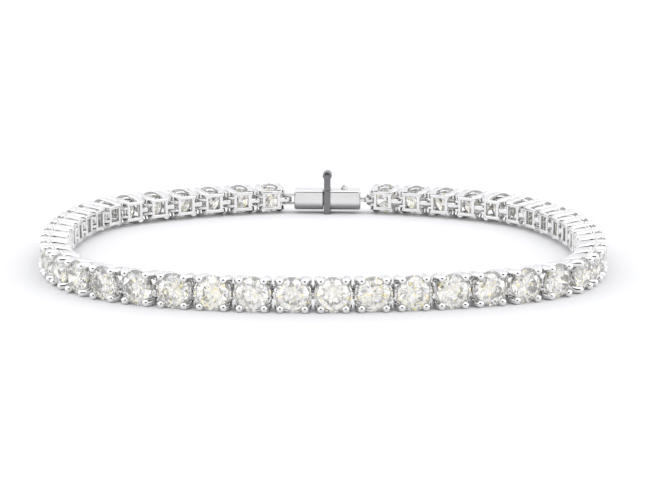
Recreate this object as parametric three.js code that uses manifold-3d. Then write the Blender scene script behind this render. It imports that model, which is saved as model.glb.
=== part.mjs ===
// Tennis bracelet of round cut stones in four-prong links, closed by a box clasp and lying on its edge.
// Millimetres, +Z up. The front of the loop faces -Y and the clasp is at the back.
import * as THREE from 'three';
import { mergeVertices } from 'three/addons/utils/BufferGeometryUtils.js';
import Module from 'manifold-3d';

const wasm = await Module();
wasm.setup();

// Chain
const pitch = 3.65; // from hinge pin to hinge pin
const linksRightOfFront = 23; // counted from the hinge at the middle of the front
const linksLeftOfFront = 23;
const frontHinge = -89.7; // degrees round the loop

// Line of the hinge pins: a circle with a few waves, each with its height and the direction of a crest
const loopRadius = 28.37;
const loopWaves = [
  { waves: 2, height: 0.46, crest: -22 },
  { waves: 3, height: 0.41, crest: -29 },
  { waves: 4, height: 0.96, crest: -42 },
  { waves: 5, height: 0.18, crest: 20 },
  { waves: 6, height: 0.18, crest: -29 },
  { waves: 7, height: 0.1, crest: -7 },
];

// Link, measured from its middle: along the chain, outward from the line of pins, and up from the middle
const halfHeight = 1.69; // to the top of the prong tips
const baseInner = -1.05;
const baseOuter = -0.6;

// Stone, a round cut with its table outward
const stoneRadius = 1.72; // to the corners of its eight sides
const tableRadius = 0.98;
const stoneSides = 8;
const girdle = 1.43; // where crown and pavilion meet
const tableOuter = 1.97;
const culetOuter = -0.03;

// Prongs, leaning outward from the base to a tip that hooks over the edge of the stone
const prongSides = 4;
const footRadius = 0.2;
const tipRadius = 0.39;
const prongFoot = { along: 0.78, outward: -0.9, up: 0.95 };
const prongTip = { along: 1.15, outward: 1.74, up: halfHeight - tipRadius };

// Hinge: two lugs with a pin at one end of a link, and at the other end an eye for the pin of the link before it
const pinRadius = 0.28;
const lugRadius = 0.4;
const lugInner = 0.74;
const lugThickness = 0.42;
const eyeHole = 0.54;
const eyeRadius = 0.86;
const eyeThickness = 0.88;
const railEnd = 1.2;
const bridgeStart = -1.05; // cross bar between the rails, beside the eye
const bridgeEnd = -0.65;

// Clasp
const claspReach = 1.12; // from a hinge pin to the body
const claspHalfHeight = 1.22;
const claspInner = -1.1;
const claspOuter = 1.4;
const mouth = 0.5; // where the box opens, past the middle of the clasp
const wall = 0.35;
const plateThickness = 0.8;
const plateMargin = 0.12; // the shoulder plate stands proud of the box
const tabTop = 2.95; // middle of the rolled top edge of the thumb tab
const tabHalfDepth = 0.85;
const tabRollRadius = 0.55;
const bladeThickness = 0.3;
const bladeHalfWidth = 0.55;
const bladeLength = 2.9;
const bladeLow = -0.4;
const bladeHigh = 0.45;
const pegRadius = 0.45;
const pegAlong = -2;
const pegTop = 1.75;

const sliver = 0.03;

const whiteGold = { color: 0xdcdce0, roughness: 0.12, metalness: 1 };
const setStone = { color: 0xe9e6df, roughness: 0.08, metalness: 0.35 };
const claspGold = { color: 0xc9c9cd, roughness: 0.2, metalness: 1 };

// Solids
function toSolid(geometry) {
  const bare = geometry.clone();
  bare.deleteAttribute('normal');
  bare.deleteAttribute('uv');
  const merged = mergeVertices(bare, 1e-4);
  const corners = merged.index.array;
  const kept = [];
  for (let i = 0; i < corners.length; i += 3) {
    const [a, b, c] = corners.slice(i, i + 3);
    if (a !== b && b !== c && c !== a) kept.push(a, b, c);
  }
  const mesh = new wasm.Mesh({
    numProp: 3,
    vertProperties: new Float32Array(merged.attributes.position.array),
    triVerts: new Uint32Array(kept),
  });
  return new wasm.Manifold(mesh);
}

// Faces in one plane are merged, and slivers left by the joins are dropped
function toGeometry(solid) {
  const mesh = solid.asOriginal().simplify(sliver).getMesh();
  const geometry = new THREE.BufferGeometry();
  geometry.setAttribute('position', new THREE.BufferAttribute(new Float32Array(mesh.vertProperties), 3));
  geometry.setIndex(new THREE.BufferAttribute(new Uint32Array(mesh.triVerts), 1));
  const flat = geometry.toNonIndexed();
  flat.computeVertexNormals();
  return flat;
}

function joined(solids) {
  return solids.reduce((whole, solid) => whole.add(solid));
}

// A box given by its limits along, outward and up, with outward as -Y
function block(along, outward, up) {
  const geometry = new THREE.BoxGeometry(along[1] - along[0], outward[1] - outward[0], up[1] - up[0]);
  geometry.translate((along[0] + along[1]) / 2, -(outward[0] + outward[1]) / 2, (up[0] + up[1]) / 2);
  return toSolid(geometry);
}

// A plate from an outline of [along, outward] points, centred at a height
function plate(outline, height, thickness, holes = []) {
  const toPoints = (points) => points.map(([along, outward]) => new THREE.Vector2(along, -outward)).reverse();
  const shape = new THREE.Shape(toPoints(outline));
  shape.holes = holes.map((points) => new THREE.Path(toPoints(points)));
  const geometry = new THREE.ExtrudeGeometry(shape, { depth: thickness, bevelEnabled: false });
  geometry.translate(0, 0, height - thickness / 2);
  return toSolid(geometry);
}

function arc(centre, radius, from, to, steps) {
  const points = [];
  for (let i = 0; i <= steps; i += 1) {
    const angle = THREE.MathUtils.degToRad(from + ((to - from) * i) / steps);
    points.push([centre + radius * Math.cos(angle), radius * Math.sin(angle)]);
  }
  return points;
}

// Parts of a link
function roundCut() {
  const profile = [
    [0, culetOuter],
    [stoneRadius, girdle],
    [tableRadius, tableOuter],
    [0, tableOuter],
  ].map(([radius, outward]) => new THREE.Vector2(radius, -outward));
  return toSolid(new THREE.LatheGeometry(profile.reverse(), stoneSides, Math.PI / stoneSides));
}

function prong(alongSide, upSide) {
  const foot = new THREE.Vector3(alongSide * prongFoot.along, -prongFoot.outward, upSide * prongFoot.up);
  const tip = new THREE.Vector3(alongSide * prongTip.along, -prongTip.outward, upSide * prongTip.up);
  const axis = tip.clone().sub(foot);
  const length = axis.length();
  const profile = [
    [0, 0],
    [footRadius, 0],
    [tipRadius, length],
    [0, length + tipRadius],
  ].map(([radius, height]) => new THREE.Vector2(radius, height));
  const geometry = new THREE.LatheGeometry(profile, prongSides);
  geometry.applyQuaternion(new THREE.Quaternion().setFromUnitVectors(new THREE.Vector3(0, 1, 0), axis.normalize()));
  geometry.translate(foot.x, foot.y, foot.z);
  return toSolid(geometry);
}

function prongs() {
  return joined([prong(-1, -1), prong(-1, 1), prong(1, -1), prong(1, 1)]);
}

// Pin along Z at a hinge, held by the lugs
function pin(along) {
  const length = 2 * lugInner + lugThickness;
  const geometry = new THREE.CylinderGeometry(pinRadius, pinRadius, length, 4);
  geometry.rotateX(Math.PI / 2);
  geometry.translate(along, 0, 0);
  return toSolid(geometry);
}

function sideRails() {
  const hinge = pitch / 2;
  const outline = [
    [-railEnd, baseInner],
    [railEnd - 0.2, baseInner],
    ...arc(hinge, lugRadius, -50, 90, 2),
    [0.7, baseOuter],
    [-railEnd, baseOuter],
  ];
  const height = lugInner + lugThickness / 2;
  return plate(outline, height, lugThickness).add(plate(outline, -height, lugThickness));
}

// Eye round the pin of the piece before it, with a foot on the cross bar
function eye() {
  const hinge = -pitch / 2;
  const outline = [...arc(hinge, eyeRadius, 60, 270, 3), [bridgeEnd, baseInner], [bridgeEnd, baseOuter]];
  return plate(outline, 0, eyeThickness, [arc(hinge, eyeHole, 36, 324, 4)]);
}

function linkSolid() {
  const bridge = block([bridgeStart, bridgeEnd], [baseInner, baseOuter], [-lugInner - 0.1, lugInner + 0.1]);
  return joined([roundCut(), prongs(), sideRails(), pin(pitch / 2), eye(), bridge]);
}

// Clasp, with its own middle halfway between its two hinges
function claspBox(length) {
  const hinge = length / 2;
  const end = hinge - claspReach;
  const shell = block([mouth, end], [claspInner, claspOuter], [-claspHalfHeight, claspHalfHeight]);
  const room = block(
    [mouth - 1, end - wall],
    [claspInner + wall, claspOuter - wall],
    [wall - claspHalfHeight, claspHalfHeight - wall],
  );
  const outline = [[end - 0.1, -0.45], ...arc(hinge, lugRadius, -90, 90, 4), [end - 0.1, 0.45]];
  const height = lugInner + lugThickness / 2;
  const lugs = plate(outline, height, lugThickness).add(plate(outline, -height, lugThickness));
  return joined([shell.subtract(room), lugs, pin(hinge)]);
}

// Thumb tab: the plate at the mouth of the box runs up past it and ends in a rolled edge
function shoulderPlate() {
  const half = plateThickness / 2;
  const shoulder = block([-half, half], [claspInner - plateMargin, claspOuter], [-halfHeight, claspHalfHeight]);
  const tab = block([-half, half], [claspInner - plateMargin, claspInner + 2 * tabHalfDepth], [0, tabTop]);
  const roll = new THREE.CylinderGeometry(tabRollRadius, tabRollRadius, 2 * tabHalfDepth, 8);
  roll.translate(0, -(claspInner - plateMargin + tabHalfDepth), tabTop);
  return joined([shoulder, tab, toSolid(roll)]);
}

// Spring tongue: a strip that runs into the box, folds over and comes back
function tongueBlade() {
  const strip = [-bladeHalfWidth, bladeHalfWidth];
  const low = block([0, mouth + bladeLength], [bladeLow, bladeLow + bladeThickness], strip);
  const fold = block(
    [mouth + bladeLength - bladeThickness, mouth + bladeLength],
    [bladeLow, bladeHigh + bladeThickness],
    strip,
  );
  const high = block([mouth + 0.4, mouth + bladeLength], [bladeHigh, bladeHigh + bladeThickness], strip);
  return joined([low, fold, high]);
}

function safetyPeg() {
  const profile = [
    [0, 0],
    [pegRadius, 0],
    [pegRadius, claspHalfHeight],
    [pegRadius / 2, pegTop],
    [0, pegTop],
  ].map(([radius, height]) => new THREE.Vector2(radius, height));
  const geometry = new THREE.LatheGeometry(profile, 8);
  geometry.rotateX(Math.PI / 2);
  geometry.translate(pegAlong, -(claspInner + claspOuter) / 2, 0);
  return toSolid(geometry);
}

function claspTongue(length) {
  const hinge = -length / 2;
  const end = hinge + claspReach;
  const body = block([end, 0], [claspInner, claspOuter], [-claspHalfHeight, claspHalfHeight]);
  const eyeOutline = [[end + 0.2, 0.5], ...arc(hinge, eyeRadius, 40, 320, 6), [end + 0.2, -0.5]];
  const ring = plate(eyeOutline, 0, eyeThickness, [arc(hinge, eyeHole, 0, 300, 5)]);
  return joined([body, ring, shoulderPlate(), tongueBlade(), safetyPeg()]);
}

// Loop
function loopPoint(angle) {
  let reach = loopRadius;
  let slope = 0;
  for (const { waves, height, crest } of loopWaves) {
    const phase = waves * (angle - THREE.MathUtils.degToRad(crest));
    reach += height * Math.cos(phase);
    slope -= waves * height * Math.sin(phase);
  }
  const outward = new THREE.Vector2(Math.cos(angle), Math.sin(angle));
  const along = new THREE.Vector2(-Math.sin(angle), Math.cos(angle));
  return outward.multiplyScalar(reach).addScaledVector(along, slope);
}

// Angle of the hinge that lies one pitch further on, found by halving
function nextHinge(angle, side) {
  const start = loopPoint(angle);
  let near = 0;
  let far = 0.5;
  while (far - near > 1e-9) {
    const middle = (near + far) / 2;
    if (loopPoint(angle + side * middle).distanceTo(start) < pitch) near = middle;
    else far = middle;
  }
  return angle + side * near;
}

function hingeAngles() {
  const angles = [THREE.MathUtils.degToRad(frontHinge)];
  for (let i = 0; i < linksRightOfFront; i += 1) angles.push(nextHinge(angles[angles.length - 1], 1));
  for (let i = 0; i < linksLeftOfFront; i += 1) angles.unshift(nextHinge(angles[0], -1));
  return angles;
}

function placed(name, geometry, look, from, to) {
  const mesh = new THREE.Mesh(geometry, new THREE.MeshStandardMaterial(look));
  mesh.name = name;
  mesh.position.set((from.x + to.x) / 2, (from.y + to.y) / 2, halfHeight);
  mesh.rotation.z = Math.atan2(to.y - from.y, to.x - from.x);
  return mesh;
}

function bracelet() {
  const hinges = hingeAngles().map(loopPoint);
  const loop = new THREE.Group();
  const link = toGeometry(linkSolid());
  for (let i = 1; i < hinges.length; i += 1) {
    const name = `link_${String(i).padStart(2, '0')}`;
    loop.add(placed(name, link.clone(), setStone, hinges[i - 1], hinges[i]));
  }
  const first = hinges[0];
  const last = hinges[hinges.length - 1];
  const claspLength = last.distanceTo(first);
  loop.add(placed('clasp_box', toGeometry(claspBox(claspLength)), whiteGold, last, first));
  loop.add(placed('clasp_tongue', toGeometry(claspTongue(claspLength)), claspGold, last, first));
  const middle = new THREE.Box3().setFromObject(loop, true).getCenter(new THREE.Vector3());
  loop.position.set(-middle.x, -middle.y, 0);
  const centred = new THREE.Group();
  centred.add(loop);
  return centred;
}

export default bracelet();
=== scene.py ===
# Tennis bracelet: round brilliants in four-prong links and a box clasp, lying on its edge on a pale floor.
# Shapes are worked out in millimetres and written to the meshes in metres.
import math

import bpy
import numpy as np
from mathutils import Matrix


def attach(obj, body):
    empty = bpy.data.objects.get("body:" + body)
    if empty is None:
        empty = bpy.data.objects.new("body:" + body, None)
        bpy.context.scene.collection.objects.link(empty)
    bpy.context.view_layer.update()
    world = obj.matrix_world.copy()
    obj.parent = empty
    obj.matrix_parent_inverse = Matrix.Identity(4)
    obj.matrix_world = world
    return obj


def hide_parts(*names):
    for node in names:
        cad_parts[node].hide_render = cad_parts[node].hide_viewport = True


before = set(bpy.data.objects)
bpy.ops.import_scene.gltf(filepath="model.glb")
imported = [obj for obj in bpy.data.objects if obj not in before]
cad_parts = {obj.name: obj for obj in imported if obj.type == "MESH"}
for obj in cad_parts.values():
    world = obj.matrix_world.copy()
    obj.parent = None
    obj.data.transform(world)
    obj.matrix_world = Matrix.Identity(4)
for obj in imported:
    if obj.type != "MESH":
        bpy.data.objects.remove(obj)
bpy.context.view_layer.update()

millimetre = 0.001
scene = bpy.context.scene
print("frame loaded:", len(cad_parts), "nodes")


# Places along the loop
loop = {
    "pitch": 3.65,  # from hinge pin to hinge pin
    "frontHinge": -89.7,  # degrees round the loop
    "linksEachSide": 23,  # counted from the hinge at the middle of the front
    "radius": 28.37,
    "waves": [(2, 0.46, -22), (3, 0.41, -29), (4, 0.96, -42), (5, 0.18, 20), (6, 0.18, -29), (7, 0.1, -7)],
    "shift": (-0.05449, -0.42094),  # puts the loop's middle at the origin
    "height": 1.69,  # of the pins' middles above the floor
    "widestStep": 0.5, "fineness": 1e-9,  # radians, where the next pin is looked for
}


# h = radius + sum of height*cos(waves*(angle - crest)); the point is h*outward + dh/dangle*along
def loopPoint(angle):
    reach, slope = loop["radius"], 0.0
    for waves, height, crest in loop["waves"]:
        phase = waves * (angle - math.radians(crest))
        reach += height * math.cos(phase)
        slope -= waves * height * math.sin(phase)
    outward = np.array([math.cos(angle), math.sin(angle)])
    along = np.array([-math.sin(angle), math.cos(angle)])
    return outward * reach + along * slope + np.array(loop["shift"])


# The angle at which the straight distance from the last pin is one pitch, found by halving
def nextHinge(angle, side):
    start, near, far = loopPoint(angle), 0.0, loop["widestStep"]
    while far - near > loop["fineness"]:
        middle = (near + far) / 2
        if np.linalg.norm(loopPoint(angle + side * middle) - start) < loop["pitch"]:
            near = middle
        else:
            far = middle
    return angle + side * near


def hingePoints():
    angles = [math.radians(loop["frontHinge"])]
    for _ in range(loop["linksEachSide"]):
        angles.append(nextHinge(angles[-1], 1))
        angles.insert(0, nextHinge(angles[0], -1))
    return [loopPoint(angle) for angle in angles]


# A place turns (along, up, outward) into the frame: middle + along*heading + up*Z + outward*side
def placeBetween(start, end):
    heading = (end - start) / np.linalg.norm(end - start)
    turn = np.array([[heading[0], heading[1], 0], [0, 0, 1], [heading[1], -heading[0], 0]])
    middle = (start + end) / 2
    return turn, np.array([middle[0], middle[1], loop["height"]])


def inPlace(shape, place):
    turn, middle = place
    return shape[0] @ turn + middle, shape[1]


# Surfaces: every shape is (points, faces), closed, in the axes (along, up, outward)
def joined(shapes):
    points, faces, count = [], [], 0
    for shapePoints, shapeFaces in shapes:
        points.append(shapePoints)
        faces += [[corner + count for corner in face] for face in shapeFaces]
        count += len(shapePoints)
    return np.vstack(points), faces


# Signed volume: a sixth of the sum of a.(b x c) over the fans of all faces; if negative, the faces are turned
def faceOutward(points, faces):
    fans = [(face[0], b, c) for face in faces for b, c in zip(face[1:-1], face[2:])]
    a, b, c = points[np.array(fans)].transpose(1, 0, 2)
    if np.einsum("ij,ij->", a, np.cross(b, c)) < 0:
        faces = [face[::-1] for face in faces]
    return points, faces


# Rings of points, joined each to the next by quads; the ends are flat caps, or the last ring joins the first
def loft(rings, closed=False):
    rings = np.asarray(rings, float)
    count, size = rings.shape[:2]
    index = np.arange(count * size).reshape(count, size)
    near = index if closed else index[:-1]
    far = np.roll(index, -1, axis=0) if closed else index[1:]
    quads = np.stack([near, np.roll(near, -1, 1), np.roll(far, -1, 1), far], axis=-1).reshape(-1, 4).tolist()
    caps = [] if closed else [index[0][::-1].tolist(), index[-1].tolist()]
    return faceOutward(rings.reshape(-1, 3), quads + caps)


# Circle of a given radius carried along a path: path(t) + radius(t)*(cos(a)*side + sin(a)*across)
def wire(path, radii, sides=12, closed=False, hint=(0, 0, 1)):
    path, radii, hint = np.asarray(path, float), np.asarray(radii, float), np.array(hint, float)
    if closed:
        tangent = np.roll(path, -1, 0) - np.roll(path, 1, 0)
    else:
        tangent = np.gradient(path, axis=0)
    tangent /= np.linalg.norm(tangent, axis=1, keepdims=True)
    side = hint - tangent * (tangent @ hint)[:, None]
    side /= np.linalg.norm(side, axis=1, keepdims=True)
    across = np.cross(tangent, side)
    angle = np.linspace(0, 2 * np.pi, sides, endpoint=False)
    ring = side[:, None] * np.cos(angle)[None, :, None] + across[:, None] * np.sin(angle)[None, :, None]
    return loft(path[:, None] + ring * radii[:, None, None], closed)


# Adds a dome to a wire's end: the path runs on by radius*sin(b) while the radius shrinks by cos(b)
def domed(path, radii, steps=5):
    path, radii = np.asarray(path, float), np.asarray(radii, float)
    ahead = path[-1] - path[-2]
    ahead /= np.linalg.norm(ahead)
    rise = np.linspace(0, np.pi / 2, steps + 1)[1:]
    rise[-1] *= 0.96  # stops short of the pole, so that the cap has a width
    top = path[-1] + ahead * (radii[-1] * np.sin(rise))[:, None]
    return np.vstack([path, top]), np.concatenate([radii, radii[-1] * np.cos(rise)])


# Each corner moves inwards along the mean of its two edges' normals
def insetOutline(outline, distance):
    before, after = np.roll(outline, 1, 0), np.roll(outline, -1, 0)
    mean = 0.0
    for edge in (outline - before, after - outline):
        mean = mean + np.stack([-edge[:, 1], edge[:, 0]], 1) / np.linalg.norm(edge, axis=1, keepdims=True)
    leastSpread = 0.6  # keeps a sharp corner from shooting out
    mean /= np.maximum(np.einsum("ij,ij->i", mean, mean), leastSpread)[:, None] / 2
    return outline + mean * distance


# An outline (anticlockwise) carried across its plane, with a quarter round along both edges
def slab(outline, low, high, edge, steps=3, order=(0, 2, 1)):
    outline = np.asarray(outline, float)
    turns = np.linspace(0, np.pi / 2, steps + 1)
    levels = [(low + edge * (1 - math.sin(turn)), edge * (1 - math.cos(turn))) for turn in turns[::-1]]
    levels += [(high - edge * (1 - math.sin(turn)), edge * (1 - math.cos(turn))) for turn in turns]
    rings = []
    for level, inset in levels:
        flat = insetOutline(outline, inset)
        rings.append(np.column_stack([flat, np.full(len(flat), level)])[:, order])
    return loft(rings)


def arc(centre, radius, start, end, steps):
    angle = np.radians(np.linspace(start, end, steps + 1))
    return [(centre[0] + radius * math.cos(a), centre[1] + radius * math.sin(a)) for a in angle]


# A rectangle whose corners are quarter circles
def roundedOutline(left, right, low, high, corner, steps=4):
    return (
        arc((right - corner, low + corner), corner, -90, 0, steps)
        + arc((right - corner, high - corner), corner, 0, 90, steps)
        + arc((left + corner, high - corner), corner, 90, 180, steps)
        + arc((left + corner, low + corner), corner, 180, 270, steps)
    )


# A rounded rectangle in (radius, up) turned once round a pin: (centre + radius*cos(a), up, radius*sin(a))
def barrel(centre, outer, inner, low, high, edge, sides=20):
    profile = np.array(roundedOutline(inner, outer, low, high, edge, 2))
    angle = np.linspace(0, 2 * np.pi, sides, endpoint=False)[:, None]
    radius, up = profile[:, 0], profile[:, 1]
    rings = np.stack([centre + radius * np.cos(angle), up + 0 * angle, radius * np.sin(angle)], axis=-1)
    return loft(rings, closed=True)


smoothing = {"sharpAngle": 40, "flatWeight": 80}  # degrees; how much the flat faces rule the shading


# Rounded pieces are shaded smooth between their sharp edges; stones keep a colour for each facet, partly the
# stone's warm tint and partly painted reflection and shade
def makePiece(name, shape, material, replaced=None, smooth=True, colours=None, hollow=None):
    points, faces = shape
    mesh = bpy.data.meshes.new(name)
    mesh.from_pydata((points * millimetre).tolist(), [], faces)
    mesh.materials.append(material)
    mesh.update()
    if smooth:
        mesh.shade_smooth()
        mesh.set_sharp_from_angle(angle=math.radians(smoothing["sharpAngle"]))
    if colours is not None:
        attribute = mesh.attributes.new("facet", "FLOAT_COLOR", "CORNER")
        sizes = np.array([len(face) for face in faces])
        attribute.data.foreach_set("color", np.repeat(colours, sizes, axis=0).astype(np.float32).ravel())
    # painted shade for the hinge's recess, kept as a value at each point
    if hollow is not None:
        mesh.attributes.new("hollow", "FLOAT", "POINT").data.foreach_set("value", hollow.astype(np.float32))
    piece = bpy.data.objects.new(name, mesh)
    scene.collection.objects.link(piece)
    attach(piece, "root")
    if smooth:
        flats = piece.modifiers.new("flatFaces", "WEIGHTED_NORMAL")
        flats.keep_sharp, flats.weight = True, smoothing["flatWeight"]
    if replaced:
        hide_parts(*replaced)


# Materials: an expression on values adds its maths nodes
class Value:
    def __init__(self, shader, socket):
        self.shader, self.socket = shader, socket

    def math(self, operation, other=0.0, swapped=False):
        inputs = {0: other, 1: self} if swapped else {0: self, 1: other}
        return self.shader.node("ShaderNodeMath", {"operation": operation}, inputs)

    def __add__(self, other):
        return self.math("ADD", other)

    def __radd__(self, other):
        return self.math("ADD", other, True)

    def __sub__(self, other):
        return self.math("SUBTRACT", other)

    def __rsub__(self, other):
        return self.math("SUBTRACT", other, True)

    def __mul__(self, other):
        return self.math("MULTIPLY", other)

    def __rmul__(self, other):
        return self.math("MULTIPLY", other, True)

    def __gt__(self, other):
        return self.math("GREATER_THAN", other)

    def clamped(self):
        return self.shader.node("ShaderNodeClamp", {}, {0: self})


class Shader:
    def __init__(self, owner):
        self.owner = owner
        owner.use_nodes = True
        self.tree = owner.node_tree
        self.tree.nodes.clear()

    def connect(self, socket, value):
        if isinstance(value, Value):
            self.tree.links.new(value.socket, socket)
        else:
            socket.default_value = value

    # Any node: its settings come first, then the values or links of its sockets
    def node(self, kind, settings=None, inputs=None, output=0):
        made = self.tree.nodes.new(kind)
        for name, value in (settings or {}).items():
            if name == "stops":
                ramp = made.color_ramp
                while len(ramp.elements) < len(value):
                    ramp.elements.new(1.0)
                for element, (position, colour) in zip(ramp.elements, value):
                    element.position, element.color = position, (*colour, 1)
                ramp.interpolation = "CONSTANT"
            else:
                setattr(made, name, value)
        for name, value in (inputs or {}).items():
            self.connect(made.inputs[name], value)
        return Value(self, made.outputs[output]) if len(made.outputs) else None

    def mixed(self, amount, first, second, blend="MIX"):
        settings = {"data_type": "RGBA", "blend_type": blend}
        return self.node("ShaderNodeMix", settings, {0: amount, 6: first, 7: second}, 2)

    def scaled(self, vector, factors):
        return self.node("ShaderNodeVectorMath", {"operation": "MULTIPLY"}, {0: vector, 1: factors})

    def noise(self, vector, scale, detail):
        return self.node("ShaderNodeTexNoise", {}, {"Vector": vector, "Scale": scale, "Detail": detail})

    def finish(self, **sockets):
        inputs = {name.replace("_", " "): value for name, value in sockets.items()}
        surface = self.node("ShaderNodeBsdfPrincipled", {}, inputs)
        self.node("ShaderNodeOutputMaterial", {}, {"Surface": surface})
        return self.owner


def newShader(name):
    return Shader(bpy.data.materials.new(name))


def objectPoint(shader):
    return shader.node("ShaderNodeTexCoord", output=3)


# What all the metals have in common: a cloudy polish with fine scratches, drawn out along Z, and the colour
# of their painted shade
polish = {
    "cloudDetail": 4.0, "scratchDetail": 2.0, "scratchDraw": (1.0, 1.0, 0.25),
    "scratchFrom": 0.62, "scratchRoughness": 0.04,
    "fineRelief": 0.5, "reliefDepth": 0.00001,  # share of the fine noise in the relief; metres
    "shadowColour": (0.25, 0.25, 0.26),
}


def goldMaterial(name, look):
    shader = newShader(name)
    point = objectPoint(shader)
    cloud = shader.noise(point, look["cloudScale"], polish["cloudDetail"])
    drawn = shader.scaled(point, polish["scratchDraw"])
    fine = shader.noise(drawn, look["scratchScale"], polish["scratchDetail"])
    colour = shader.mixed(cloud, (*look["pale"], 1), (*look["deep"], 1))
    shadow = (*polish["shadowColour"], 1)
    # Painted shade: points in the hinge's recess are darkened towards the shadow colour
    if look["shade"]:
        hollow = shader.node("ShaderNodeAttribute", {"attribute_name": "hollow"}, output=2)
        colour = shader.mixed(hollow * look["shade"], colour, shadow)
    # Painted shade: darker towards the bottom, below lowBand, standing for the clasp mirroring its own shadow
    if look["lowShade"]:
        height = shader.node("ShaderNodeSeparateXYZ", {}, {0: point}, 2)
        low, high = (level * millimetre for level in look["lowBand"])
        nearFloor = ((high - height) * (1 / (high - low))).clamped()
        colour = shader.mixed(nearFloor * look["lowShade"], colour, shadow)
    scratch = (fine > polish["scratchFrom"]) * polish["scratchRoughness"]
    roughness = look["roughness"] + cloud * look["roughnessSpread"] + scratch
    relief = fine * polish["fineRelief"] + cloud
    bumpInputs = {"Strength": look["bump"], "Distance": polish["reliefDepth"], "Height": relief}
    bump = shader.node("ShaderNodeBump", {}, bumpInputs)
    return shader.finish(Base_Color=colour, Metallic=1.0, Roughness=roughness, Normal=bump)


whiteGold = goldMaterial("whiteGold", {
    "pale": (0.865, 0.86, 0.85), "deep": (0.8, 0.795, 0.785), "roughness": 0.03, "roughnessSpread": 0.07,
    "cloudScale": 700.0, "scratchScale": 9000.0, "bump": 0.08, "shade": 0.2, "lowShade": 0.0,
})
caseGold = goldMaterial("caseGold", {
    "pale": (0.8, 0.795, 0.78), "deep": (0.72, 0.715, 0.705), "roughness": 0.12, "roughnessSpread": 0.1,
    "cloudScale": 500.0, "scratchScale": 7000.0, "bump": 0.15, "shade": 0.0,
    "lowShade": 0.85, "lowBand": (1.0, 1.45),  # painted shade: the clasp's lowest part is darkened, standing for its mirroring of its own shadow
})
# Painted reflection: the thumb tab's dark colour stands for the dark camera mirrored in its face; the spring
# shares it
paintedDarkGold = goldMaterial("paintedDarkGold", {
    "pale": (0.27, 0.27, 0.275), "deep": (0.18, 0.18, 0.185), "roughness": 0.14, "roughnessSpread": 0.12,
    "cloudScale": 500.0, "scratchScale": 7000.0, "bump": 0.2, "shade": 0.0, "lowShade": 0.0,
})
# Painted shade: the peg is darker than the other metals, standing for the shade on its face
shadedPegGold = goldMaterial("shadedPegGold", {
    "pale": (0.62, 0.61, 0.59), "deep": (0.52, 0.515, 0.505), "roughness": 0.2, "roughnessSpread": 0.1,
    "cloudScale": 700.0, "scratchScale": 9000.0, "bump": 0.2, "shade": 0.0, "lowShade": 0.0,
})

# Small cells of white, warm, grey, blue and yellow are painted on the stones: painted glints, reflections and
# shade standing for the sparkle and fire of the cut, partly over a warm tint of the stone's own
paintedSparkle = {
    "cellScale": 4000.0, "refraction": 2.42, "paintedGlow": 0.035,
    "stops": [
        (0.0, (0.98, 0.98, 0.97)), (0.32, (0.93, 0.9, 0.79)), (0.6, (0.64, 0.635, 0.62)),
        (0.79, (0.31, 0.305, 0.3)), (0.88, (0.88, 0.9, 1.0)), (0.95, (1.0, 0.8, 0.26)),
    ],
}


def stoneMaterial():
    shader = newShader("diamond")
    cellInputs = {"Vector": objectPoint(shader), "Scale": paintedSparkle["cellScale"]}
    cells = shader.node("ShaderNodeTexVoronoi", {"feature": "F1"}, cellInputs, 1)
    pick = shader.node("ShaderNodeSeparateColor", {}, {0: cells})
    paintedFire = shader.node("ShaderNodeValToRGB", {"stops": paintedSparkle["stops"]}, {0: pick})
    facet = shader.node("ShaderNodeAttribute", {"attribute_name": "facet"})
    colour = shader.mixed(1.0, facet, paintedFire, "MULTIPLY")
    return shader.finish(
        # the emission is a faint painted glow, standing for the light of many reflections past the bounce
        # limit
        Base_Color=colour, Roughness=0.0, IOR=paintedSparkle["refraction"], Transmission_Weight=1.0,
        Emission_Strength=paintedSparkle["paintedGlow"],
    )


diamond = stoneMaterial()
print("materials made")

# Round brilliant with its table outward
brilliant = {
    "radius": 1.79, "table": 0.98, "starReach": 1.36, "lowerReach": 0.42,
    "tableAt": 1.965, "girdleTop": 1.465, "girdleLow": 1.38, "culetAt": -0.2,
    "squash": 0.941,  # leaves it a little wider along the band
    "turn": 0.785, "lean": 0.012,  # radians: each stone is turned and leans a little, at random
    # facet colours: white and a warm tint of the stone's own, and two greys of painted reflection and shade
    "tintsAndShades": [(1, 1, 1), (0.95, 0.935, 0.88), (0.8, 0.8, 0.81), (0.68, 0.68, 0.68)],
    "shares": [0.44, 0.28, 0.2, 0.08], "tableTint": 1,
}


# Height of the plane through three corners, at a point: each facet of the cut is such a plane
def heightOnPlane(a, b, c, point):
    normal = np.cross(b - a, c - a)
    return a[2] - (normal[0] * (point[0] - a[0]) + normal[1] * (point[1] - a[1])) / normal[2]


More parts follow.
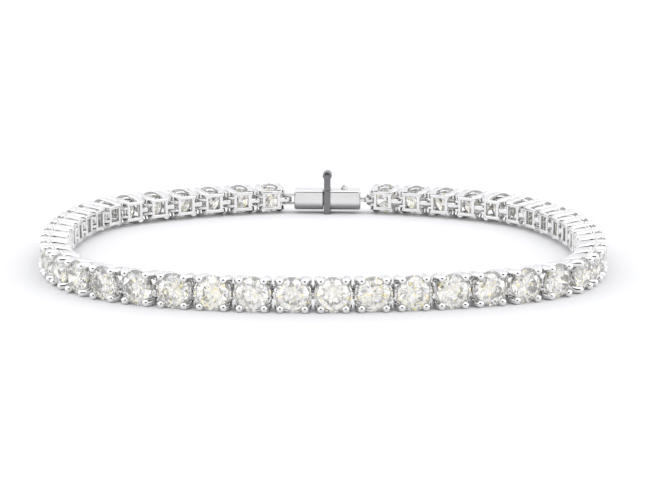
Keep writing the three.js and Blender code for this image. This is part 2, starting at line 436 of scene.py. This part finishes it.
# Rings of corners at (radius*cos, radius*sin, height), an eighth of a turn apart, and the facets between them
def brilliantCut():
    cut = brilliant
    eighth = np.radians(np.arange(8) * 45.0)
    halfway = math.radians(22.5)
    between = eighth + halfway
    aroundRim = np.radians(np.arange(32) * 11.25)

    def ring(radius, angle, height):
        return np.column_stack([radius * np.cos(angle), radius * np.sin(angle), np.full(len(angle), height)])

    table = ring(cut["table"], eighth, cut["tableAt"])
    rim = ring(cut["radius"], aroundRim, cut["girdleTop"])
    lowRim = ring(cut["radius"], aroundRim, cut["girdleLow"])
    slope = (cut["tableAt"] - cut["girdleTop"]) / (cut["radius"] - cut["table"])
    starAt = cut["tableAt"] - slope * (cut["starReach"] * math.cos(halfway) - cut["table"])
    star = ring(cut["starReach"], between, starAt)
    rise = (cut["girdleLow"] - cut["culetAt"]) / cut["radius"]
    lower = ring(cut["lowerReach"], between, cut["culetAt"] + rise * cut["lowerReach"] * math.cos(halfway))
    rim[1::2, 2] = heightOnPlane(star[0], rim[0], rim[2], rim[1])
    lowRim[1::2, 2] = heightOnPlane(lower[0], lowRim[0], lowRim[2], lowRim[1])
    points = np.vstack([table, star, rim, lowRim, lower, [[0, 0, cut["culetAt"]]]])
    starFirst, rimFirst, lowRimFirst, lowerFirst, culet = 8, 16, 48, 80, 88
    faces = [list(range(8))]
    for k in range(8):
        after, before = (k + 1) % 8, (k - 1) % 8
        steps = [4 * k, 4 * k + 1, 4 * k + 2, 4 * k + 3, (4 * k + 4) % 32]
        top = [rimFirst + step for step in steps]
        low = [lowRimFirst + step for step in steps]
        tip, tipBefore = starFirst + k, starFirst + before
        root, rootBefore = lowerFirst + k, lowerFirst + before
        faces += [[k, tip, after], [k, tipBefore, top[0], tip]]
        faces += [[tip, top[0], top[1], top[2]], [tip, top[2], top[3], top[4]]]
        faces += [[top[i], low[i], low[i + 1], top[i + 1]] for i in range(4)]
        faces += [[root, low[2], low[1], low[0]], [root, low[4], low[3], low[2]]]
        faces += [[culet, root, low[0], rootBefore]]
    return faceOutward(points, faces)


# Turned by spin about its own axis, then leaning in its seat at the girdle, then squashed across the band
def turnedStone(shape, spin, lean):
    c, s = math.cos(spin), math.sin(spin)
    turn = np.array([[c, s, 0], [-s, c, 0], [0, 0, 1]])
    tilt = np.array([[1, 0, -lean[0]], [0, 1, -lean[1]], [lean[0], lean[1], 1]])
    seat = np.array([0, 0, brilliant["girdleLow"]])
    return ((shape[0] @ turn - seat) @ tilt + seat) * np.array([1, brilliant["squash"], 1]), shape[1]


def facetTintsAndShades(count, random):
    tintsAndShades = np.array([(*tint, 1) for tint in brilliant["tintsAndShades"]])
    picked = random.choice(len(tintsAndShades), size=count, p=brilliant["shares"])
    picked[0] = brilliant["tableTint"]
    return tintsAndShades[picked]


# Four-prong setting with its hinge; points are (along, up, outward)
setting = {
    "halfHeight": 1.69, "beadRadius": 0.394,
    "foot": (0.95, 1.0, -0.8), "tip": (1.15, 1.296, 1.74),
    "footRadius": 0.34, "neckRadius": 0.385, "swell": 0.06, "bow": (0.27, 0.02, 0), "bowPeak": 1.4,
    "galleryRadius": 1.36, "galleryAt": 0.98, "galleryWave": 0.07, "galleryWire": 0.13,
    "railUp": 0.92, "railThickness": 0.38, "railEnd": 1.2, "railCorner": 0.12, "railEdge": 0.09,
    "baseInner": -1.05, "baseOuter": -0.6,
    "bridges": ((-1.05, -0.65), (0.75, 1.1)), "bridgeCorner": 0.1, "bridgeEdge": 0.05,
    "shoulder": ((0.7, -0.55), (1.1, -0.7), (1.42, 0.3), (1.45, 0.95), (1.15, 1.15), (0.8, 1.0)),
    "shoulderAlong": (1.45, 1.7), "shoulderEdge": 0.06,  # the shoulder's corners are (up, outward)
    "pinRadius": 0.28, "pinOverhang": 0.06,
    "lugRadius": 0.4, "lugUp": 0.49, "lugThickness": 0.28, "lugEdge": 0.07, "lugRoot": (-0.98, -0.66),
    "eyeRadius": 0.82, "eyeHole": 0.52, "eyeThickness": 0.56,
}
# Where the links' metal gets painted shade round the hinge: middle and width across the band, fading towards
# its edges
hingeShadeMask = {"middle": 0.2, "width": 0.65, "fadeEnd": 1.3, "fadeWidth": 0.35}


# foot + (tip - foot)*t, bowed outwards by bow*sin(pi*t^bowPeak); its radius runs from the foot's to the
# neck's, plus swell*sin(pi*t). A round bead ends it: rings of bead*cos(b) at tip + bead*sin(b) outward
def prongShape(alongSide, upSide):
    s = setting
    flip = np.array([alongSide, upSide, 1])
    foot, tip, bow = (np.array(s[part]) * flip for part in ("foot", "tip", "bow"))
    t = np.linspace(0, 1, 9)
    path = foot + (tip - foot) * t[:, None] + bow * np.sin(np.pi * t ** s["bowPeak"])[:, None]
    radii = s["footRadius"] + (s["neckRadius"] - s["footRadius"]) * t + s["swell"] * np.sin(np.pi * t)
    latitude = np.linspace(-np.pi / 2, np.pi / 2, 11)
    latitude[[0, -1]] *= 0.985  # stops short of the poles, so that the caps have a width
    centre = tip + np.array([0, 0, 1.0]) * (s["beadRadius"] * np.sin(latitude))[:, None]
    bead = wire(centre, s["beadRadius"] * np.cos(latitude), 16, hint=(1, 0, 0))
    return joined([wire(path, radii, 12), bead])


# A round pin along Z: a circle carried up it, narrowing to a low dome at each end
def pinShape(centre, radius, reach):
    level = np.array([-1, -0.97, -0.9, 0.9, 0.97, 1]) * reach
    radii = radius * np.array([0.45, 0.85, 1, 1, 0.85, 0.45])
    path = np.column_stack([np.full(6, centre), level, np.zeros(6)])
    return wire(path, radii, 14, hint=(1, 0, 0))


# A thin wall at the link's end, from the prong in towards the hinge, below the stone's edge
def shoulderShape(end, side):
    outline = [(up * side, outward) for up, outward in setting["shoulder"]]
    if side < 0:
        outline = outline[::-1]
    near, far = sorted(end * along for along in setting["shoulderAlong"])
    return slab(outline, near, far, setting["shoulderEdge"], 2, order=(2, 0, 1))


# Two lugs that run from a root up to the hinge, with the pin between them
def lugShapes(hinge, root, low, high):
    s = setting
    outline = [(root, low), (hinge - 0.35, low), *arc((hinge, 0), s["lugRadius"], -60, 110, 8), (root, high)]
    half, edge = s["lugThickness"] / 2, s["lugEdge"]
    lugs = [slab(outline, middle - half, middle + half, edge) for middle in (-s["lugUp"], s["lugUp"])]
    return lugs + [pinShape(hinge, s["pinRadius"], s["lugUp"] + half + s["pinOverhang"])]


# A ring round the stone: (radius*cos(a), radius*sin(a), height - wave*cos(4*a)), highest at the prongs
def galleryShape():
    s = setting
    angle = np.linspace(0, 2 * np.pi, 32, endpoint=False)
    height = s["galleryAt"] - s["galleryWave"] * np.cos(4 * angle)
    ring = np.column_stack([s["galleryRadius"] * np.cos(angle), s["galleryRadius"] * np.sin(angle), height])
    return wire(ring, np.full(32, s["galleryWire"]), 8, closed=True)


# The eye that turns on the next link's pin, and the arm that joins it to the link's bar
def eyeShapes(hinge, barEnd):
    s = setting
    thick, sunk, inset = s["eyeThickness"] / 2, 0.1, 0.05  # the arm is sunk in the bar, and thinner than it
    arm = [(0.12 - hinge, 0.04 - s["eyeRadius"]), (barEnd - sunk, s["baseInner"] + inset)]
    arm += [(barEnd - sunk, s["baseOuter"] - inset), (0.6 - hinge, -0.42)]
    eye = barrel(-hinge, s["eyeRadius"], s["eyeHole"], -thick, thick, 0.07)
    return [eye, slab(arm, 0.03 - thick, thick - 0.03, 0.05, 1)]


def settingShape():
    s = setting
    hinge = loop["pitch"] / 2
    shapes = [prongShape(a, u) for a in (-1, 1) for u in (-1, 1)] + [galleryShape()]
    half = s["railThickness"] / 2
    rail = roundedOutline(-s["railEnd"], s["railEnd"], s["baseInner"], s["baseOuter"], s["railCorner"], 3)
    for side in (-1, 1):
        shapes.append(slab(rail, side * s["railUp"] - half, side * s["railUp"] + half, s["railEdge"]))
    for start, end in s["bridges"]:
        bar = roundedOutline(start, end, s["baseInner"], s["baseOuter"], s["bridgeCorner"], 2)
        shapes.append(slab(bar, -s["railUp"], s["railUp"], s["bridgeEdge"], 1))
    shapes += [shoulderShape(end, side) for end in (-1, 1) for side in (-1, 1)]
    shapes += lugShapes(hinge, s["bridges"][1][0] + 0.05, *s["lugRoot"])
    return joined(shapes + eyeShapes(hinge, s["bridges"][0][1]))


# How much painted shade a point gets in the hinge's recess: exp(-((outward - middle)/width)^2), less near the
# band's edges
def paintedShadeDepth(points):
    h = hingeShadeMask
    fade = np.clip((h["fadeEnd"] - np.abs(points[:, 1])) / h["fadeWidth"], 0, 1)
    return np.exp(-(((points[:, 2] - h["middle"]) / h["width"]) ** 2)) * fade


hinges = hingePoints()
cutStone, linkMetal = brilliantCut(), settingShape()
linkPaintedShade = paintedShadeDepth(linkMetal[0])
chance = np.random.default_rng(7)
for number in range(1, len(hinges)):
    place = placeBetween(hinges[number - 1], hinges[number])
    name = f"{number:02d}"
    metal = inPlace(linkMetal, place)
    makePiece(f"setting_{name}", metal, whiteGold, [f"link_{name}"], hollow=linkPaintedShade)
    spin, lean = chance.uniform(0, brilliant["turn"]), chance.normal(0, brilliant["lean"], 2)
    stone = turnedStone(cutStone, spin, lean)
    colours = facetTintsAndShades(len(stone[1]), chance)
    makePiece(f"stone_{name}", inPlace(stone, place), diamond, smooth=False, colours=colours)
print("links made:", len(hinges) - 1)

# Box clasp: the box, and the tongue's body with its shoulder plate, thumb tab, peg and folded spring
clasp = {
    "reach": 1.12, "halfHeight": 1.22, "inner": -1.1, "outer": 1.4, "mouth": 0.5, "wall": 0.35,
    "corner": 0.3, "insideCorner": 0.14, "underside": 0.85, "edge": 0.22, "lip": 0.06, "insideLip": 0.05,
    "plate": 0.8, "plateMargin": 0.12, "tabTop": 2.95, "tabHalfDepth": 0.85, "tabRoll": 0.55,
    "bladeThickness": 0.3, "bladeHalfWidth": 0.55, "bladeEnd": 3.4, "bladeLow": -0.4, "bladeHigh": 0.45,
    "bladeStart": 0.4,  # of the folded-back half, inside the mouth
    "pegRadius": 0.45, "pegAlong": -2.0, "pegFoot": 0.9, "pegTop": 1.75,
}


# A rounded rectangle in (up, outward) at a place along the clasp, with a wider round at the lower inner edge
def section(along, inset, corner):
    c = clasp
    low, high = -c["halfHeight"] + inset, c["halfHeight"] - inset
    inner, outer = c["inner"] + inset, c["outer"] - inset
    turned = max(c["underside"] - inset, corner)
    outline = arc((high - corner, inner + corner), corner, -90, 0, 4)
    outline += arc((high - corner, outer - corner), corner, 0, 90, 4)
    outline += arc((low + corner, outer - corner), corner, 90, 180, 4)
    outline += arc((low + turned, inner + turned), turned, 180, 270, 8)
    return [(along, up, outward) for up, outward in outline]


# A quarter round at a closed end: at end + side*edge*(1 - sin(t)) the section is inset by edge*(1 - cos(t))
def closedEnd(end, side):
    edge = clasp["edge"]
    turns = np.linspace(np.pi / 2, 0, 5)
    insets = [(side * edge * (1 - math.sin(t)), edge * (1 - math.cos(t))) for t in turns]
    return [section(end + ahead, inset, clasp["corner"]) for ahead, inset in insets]


# Sections carried along the clasp: in from the closed end, out to the mouth, and back inside to the end wall
def claspBoxShape(length):
    c = clasp
    hinge = length / 2
    end = hinge - c["reach"]
    rings = closedEnd(end, -1) + [section(end - 1.5, 0, c["corner"])]
    rings += [section(c["mouth"] + c["lip"], 0, c["corner"]), section(c["mouth"], c["lip"], 0.26)]
    rings += [section(c["mouth"], c["wall"] - c["insideLip"], 0.16)]
    rings += [section(c["mouth"] + c["insideLip"], c["wall"], c["insideCorner"])]
    rings += [section(end - c["wall"], c["wall"], c["insideCorner"])]
    return joined([loft(rings)] + lugShapes(hinge, end - 0.15, -0.42, 0.4))


# Sections from the closed end to the shoulder plate, and the eye on its arm
def claspBodyShape(length):
    c, s = clasp, setting
    hinge = -length / 2
    end = hinge + c["reach"]
    rings = closedEnd(end, 1) + [section(-0.5, 0, c["corner"]), section(0, 0, c["corner"])]
    thick = s["eyeThickness"] / 2
    eye = barrel(hinge, s["eyeRadius"], s["eyeHole"], -thick, thick, 0.08, 24)
    root, tip, half = end + 0.2, hinge + 0.66, 0.5
    arm = slab([(tip, -half), (root, -half), (root, half), (tip, half)], -thick + 0.03, thick - 0.03, 0.08)
    return joined([loft(rings), eye, arm])


# A short peg on the clasp's top, narrowing upwards to a dome
def pegShape():
    c = clasp
    middle = (c["inner"] + c["outer"]) / 2
    level = np.array([c["pegFoot"], c["halfHeight"], c["halfHeight"] + 0.2, c["pegTop"] - 0.28])
    stem = np.column_stack([np.full(4, c["pegAlong"]), level, np.full(4, middle)])
    path, radii = domed(stem, c["pegRadius"] * np.array([1.0, 1.0, 0.8, 0.62]))
    return wire(path, radii, 16)


# The tab's outline in (along, outward) is carried up from the floor; it narrows above the box, up to a roll
def thumbTabShape():
    c = clasp
    half, inner = c["plate"] / 2, c["inner"] - c["plateMargin"]
    low, depth = -setting["halfHeight"], 2 * c["tabHalfDepth"]
    narrow = inner + depth
    rings = []
    for up, inset, outer in [
        (low, 0.08, c["outer"]), (low + 0.08, 0, c["outer"]), (1.0, 0, c["outer"]),
        (1.2, 0.02, c["outer"] - 0.1), (1.34, 0.02, narrow + 0.2),
        (1.6, 0.02, narrow), (c["tabTop"], 0.02, narrow),
    ]:
        outline = roundedOutline(-half + inset, half - inset, inner + inset, outer - inset, 0.12, 3)
        rings.append([(along, up, outward) for along, outward in outline])
    ends = np.array([0, 0.03, 0.1, 0.2])
    level = inner + np.concatenate([ends, depth - ends[::-1]])
    radii = c["tabRoll"] * np.array([0.6, 0.82, 0.95, 1, 1, 0.95, 0.82, 0.6])
    path = np.column_stack([np.zeros(8), np.full(8, c["tabTop"]), level])
    return joined([loft(rings), wire(path, radii, 20, hint=(1, 0, 0))])


# A strip carried in, round its fold and back: the outline of the folded sheet, taken across its width
def springShape():
    c = clasp
    thick, end = c["bladeThickness"], c["bladeEnd"]
    start, top = c["mouth"] + c["bladeStart"], c["bladeHigh"] + thick
    outerRadius = (top - c["bladeLow"]) / 2
    fold = (end - outerRadius, (top + c["bladeLow"]) / 2)
    outline = [(0, c["bladeLow"])] + arc(fold, outerRadius, -90, 90, 10)
    outline += [(start, top), (start, c["bladeHigh"])] + arc(fold, outerRadius - thick, 90, -90, 10)
    outline += [(0, c["bladeLow"] + thick)]
    return slab(outline, -c["bladeHalfWidth"], c["bladeHalfWidth"], 0.04, 1)


claspLength = float(np.linalg.norm(hinges[-1] - hinges[0]))
claspPlace = placeBetween(hinges[-1], hinges[0])
claspBox, claspBody = claspBoxShape(claspLength), claspBodyShape(claspLength)
makePiece("clasp_case", inPlace(claspBox, claspPlace), caseGold, ["clasp_box"])
makePiece("clasp_body", inPlace(claspBody, claspPlace), caseGold, ["clasp_tongue"])
makePiece("clasp_peg", inPlace(pegShape(), claspPlace), shadedPegGold, ["clasp_tongue"])
makePiece("thumb_tab", inPlace(thumbTabShape(), claspPlace), paintedDarkGold, ["clasp_tongue"])
makePiece("clasp_spring", inPlace(springShape(), claspPlace), paintedDarkGold, ["clasp_tongue"])
print("clasp made")

# Floor, light and camera; sizes in metres, the camera's place in millimetres, turns in degrees
studio = {
    "floorRadius": 3.0, "floorColour": (0.855, 0.855, 0.86), "floorRoughness": 0.7,
    "frontSky": 0.86, "backSky": 1.08, "sideSky": 1.1,  # towards the camera, away from it, to either side
    "skyColour": (0.955, 0.962, 1.0), "sunColour": (1.0, 0.985, 0.95),
    "cardRadius": 0.12, "cardDistance": 0.26, "cardColour": (0.02, 0.02, 0.02), "cardRoughness": 0.9,
    "sun": (165, 66, 0.75, 80),  # azimuth, elevation, strength, width in degrees
}
view = {
    "place": (2.3625, -207.057, 39.573), "turn": (79.328, 0.0, 0.3153), "lens": 106.67, "sensor": 36.0,
    "near": 0.005, "far": 20,
}


def makeCamera():
    camera = bpy.data.cameras.new("camera")
    camera.lens, camera.sensor_width, camera.sensor_fit = view["lens"], view["sensor"], "HORIZONTAL"
    camera.clip_start, camera.clip_end = view["near"], view["far"]
    holder = bpy.data.objects.new("camera", camera)
    holder.location = np.array(view["place"]) * millimetre
    holder.rotation_euler = [math.radians(turn) for turn in view["turn"]]
    scene.collection.objects.link(holder)
    scene.camera = holder


# The rim of a flat disc: (radius*cos, radius*sin, 0)
def discPoints(radius, sides=64):
    angle = np.linspace(0, 2 * np.pi, sides, endpoint=False)
    return np.column_stack([radius * np.cos(angle), radius * np.sin(angle), np.zeros(sides)])


def stagePiece(name, points, colour, roughness):
    mesh = bpy.data.meshes.new(name)
    mesh.from_pydata(points.tolist(), [], [list(range(len(points)))])
    surface = newShader(name).finish(Base_Color=(*colour, 1), Roughness=roughness, Specular_IOR_Level=0.2)
    mesh.materials.append(surface)
    piece = bpy.data.objects.new(name, mesh)
    scene.collection.objects.link(piece)
    return piece


# Sky strength: from frontSky to backSky along Y, plus sideSky*x^4 towards either side
def makeSky():
    scene.world = bpy.data.worlds.new("softRoom")
    room = Shader(scene.world)
    direction = room.node("ShaderNodeTexCoord")
    x = room.node("ShaderNodeSeparateXYZ", {}, {0: direction}, 0)
    y = room.node("ShaderNodeSeparateXYZ", {}, {0: direction}, 1)
    near, far = studio["frontSky"], studio["backSky"]
    strength = y * ((far - near) / 2) + (far + near) / 2 + x * x * x * x * studio["sideSky"]
    sky = room.node("ShaderNodeBackground", {}, {0: (*studio["skyColour"], 1), 1: strength})
    room.node("ShaderNodeOutputWorld", {}, {0: sky})


# The card stands square to the way from the loop to the camera; only the metal's mirroring shows it
def makeDarkCard():
    card = discPoints(studio["cardRadius"])
    middle = np.array(view["place"]) * millimetre
    aim = middle / np.linalg.norm(middle)
    side = np.cross((0, 0, 1), aim)
    side /= np.linalg.norm(side)
    points = aim * studio["cardDistance"] + card[:, :1] * side + card[:, 1:2] * np.cross(aim, side)
    dark = stagePiece("darkCard", points, studio["cardColour"], studio["cardRoughness"])
    dark.visible_camera = dark.visible_diffuse = dark.visible_shadow = dark.visible_transmission = False


# A wide soft light from a direction given by its azimuth (0 behind the object) and elevation, in degrees
def softLight(name, azimuth, elevation, strength, spread):
    light = bpy.data.lights.new(name, "SUN")
    light.energy, light.angle, light.color = strength, math.radians(spread), studio["sunColour"]
    holder = bpy.data.objects.new(name, light)
    holder.rotation_euler = (math.radians(elevation - 90), 0, math.radians(-azimuth))
    scene.collection.objects.link(holder)


makeCamera()
makeSky()
stagePiece("floor", discPoints(studio["floorRadius"]), studio["floorColour"], studio["floorRoughness"])
makeDarkCard()
softLight("softTop", *studio["sun"])
scene.view_settings.view_transform = "Standard"
print("studio made")
